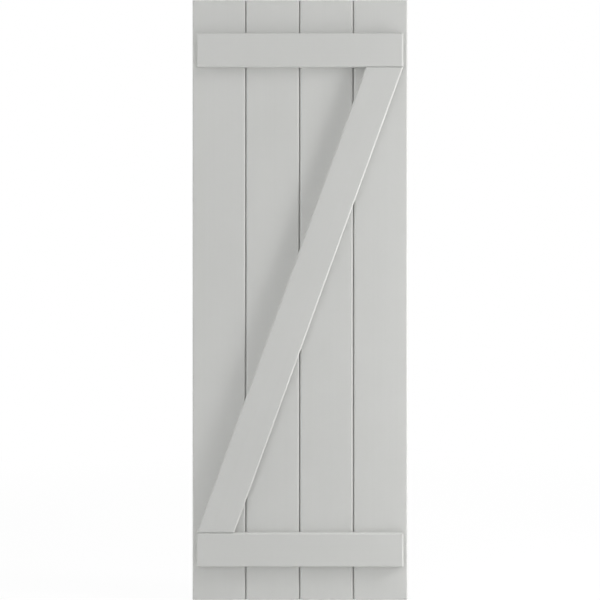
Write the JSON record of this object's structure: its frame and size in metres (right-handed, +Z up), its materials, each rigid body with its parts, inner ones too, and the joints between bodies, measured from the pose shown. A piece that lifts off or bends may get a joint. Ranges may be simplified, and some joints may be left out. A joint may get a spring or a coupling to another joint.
{
  "type": "board and batten shutter",
  "caption": "Tall wall shutter of painted upright boards butted edge to edge, with a level batten near each end and a diagonal brace between the battens.",
  "frame": {"origin": "middle of the back face of the boards, where the shutter lies against the wall", "axes": "+Z up along the boards, +X to the right of someone facing the shutter, +Y into the wall; the front faces -Y"},
  "size_m": [0.5462, 0.0318, 1.524],
  "materials": {
    "board_paint": "satin light grey paint on smooth foamed plastic board",
    "batten_paint": "satin light grey paint on smooth foamed plastic board",
    "screw_steel": "dull stainless steel screw heads, on the back only"
  },
  "bodies": {
    "root": {"left_board": "board_paint", "left_middle_board": "board_paint", "right_middle_board": "board_paint", "right_board": "board_paint", "top_batten": "batten_paint", "bottom_batten": "batten_paint", "diagonal_brace": "batten_paint"}
  },
  "joints": []
}
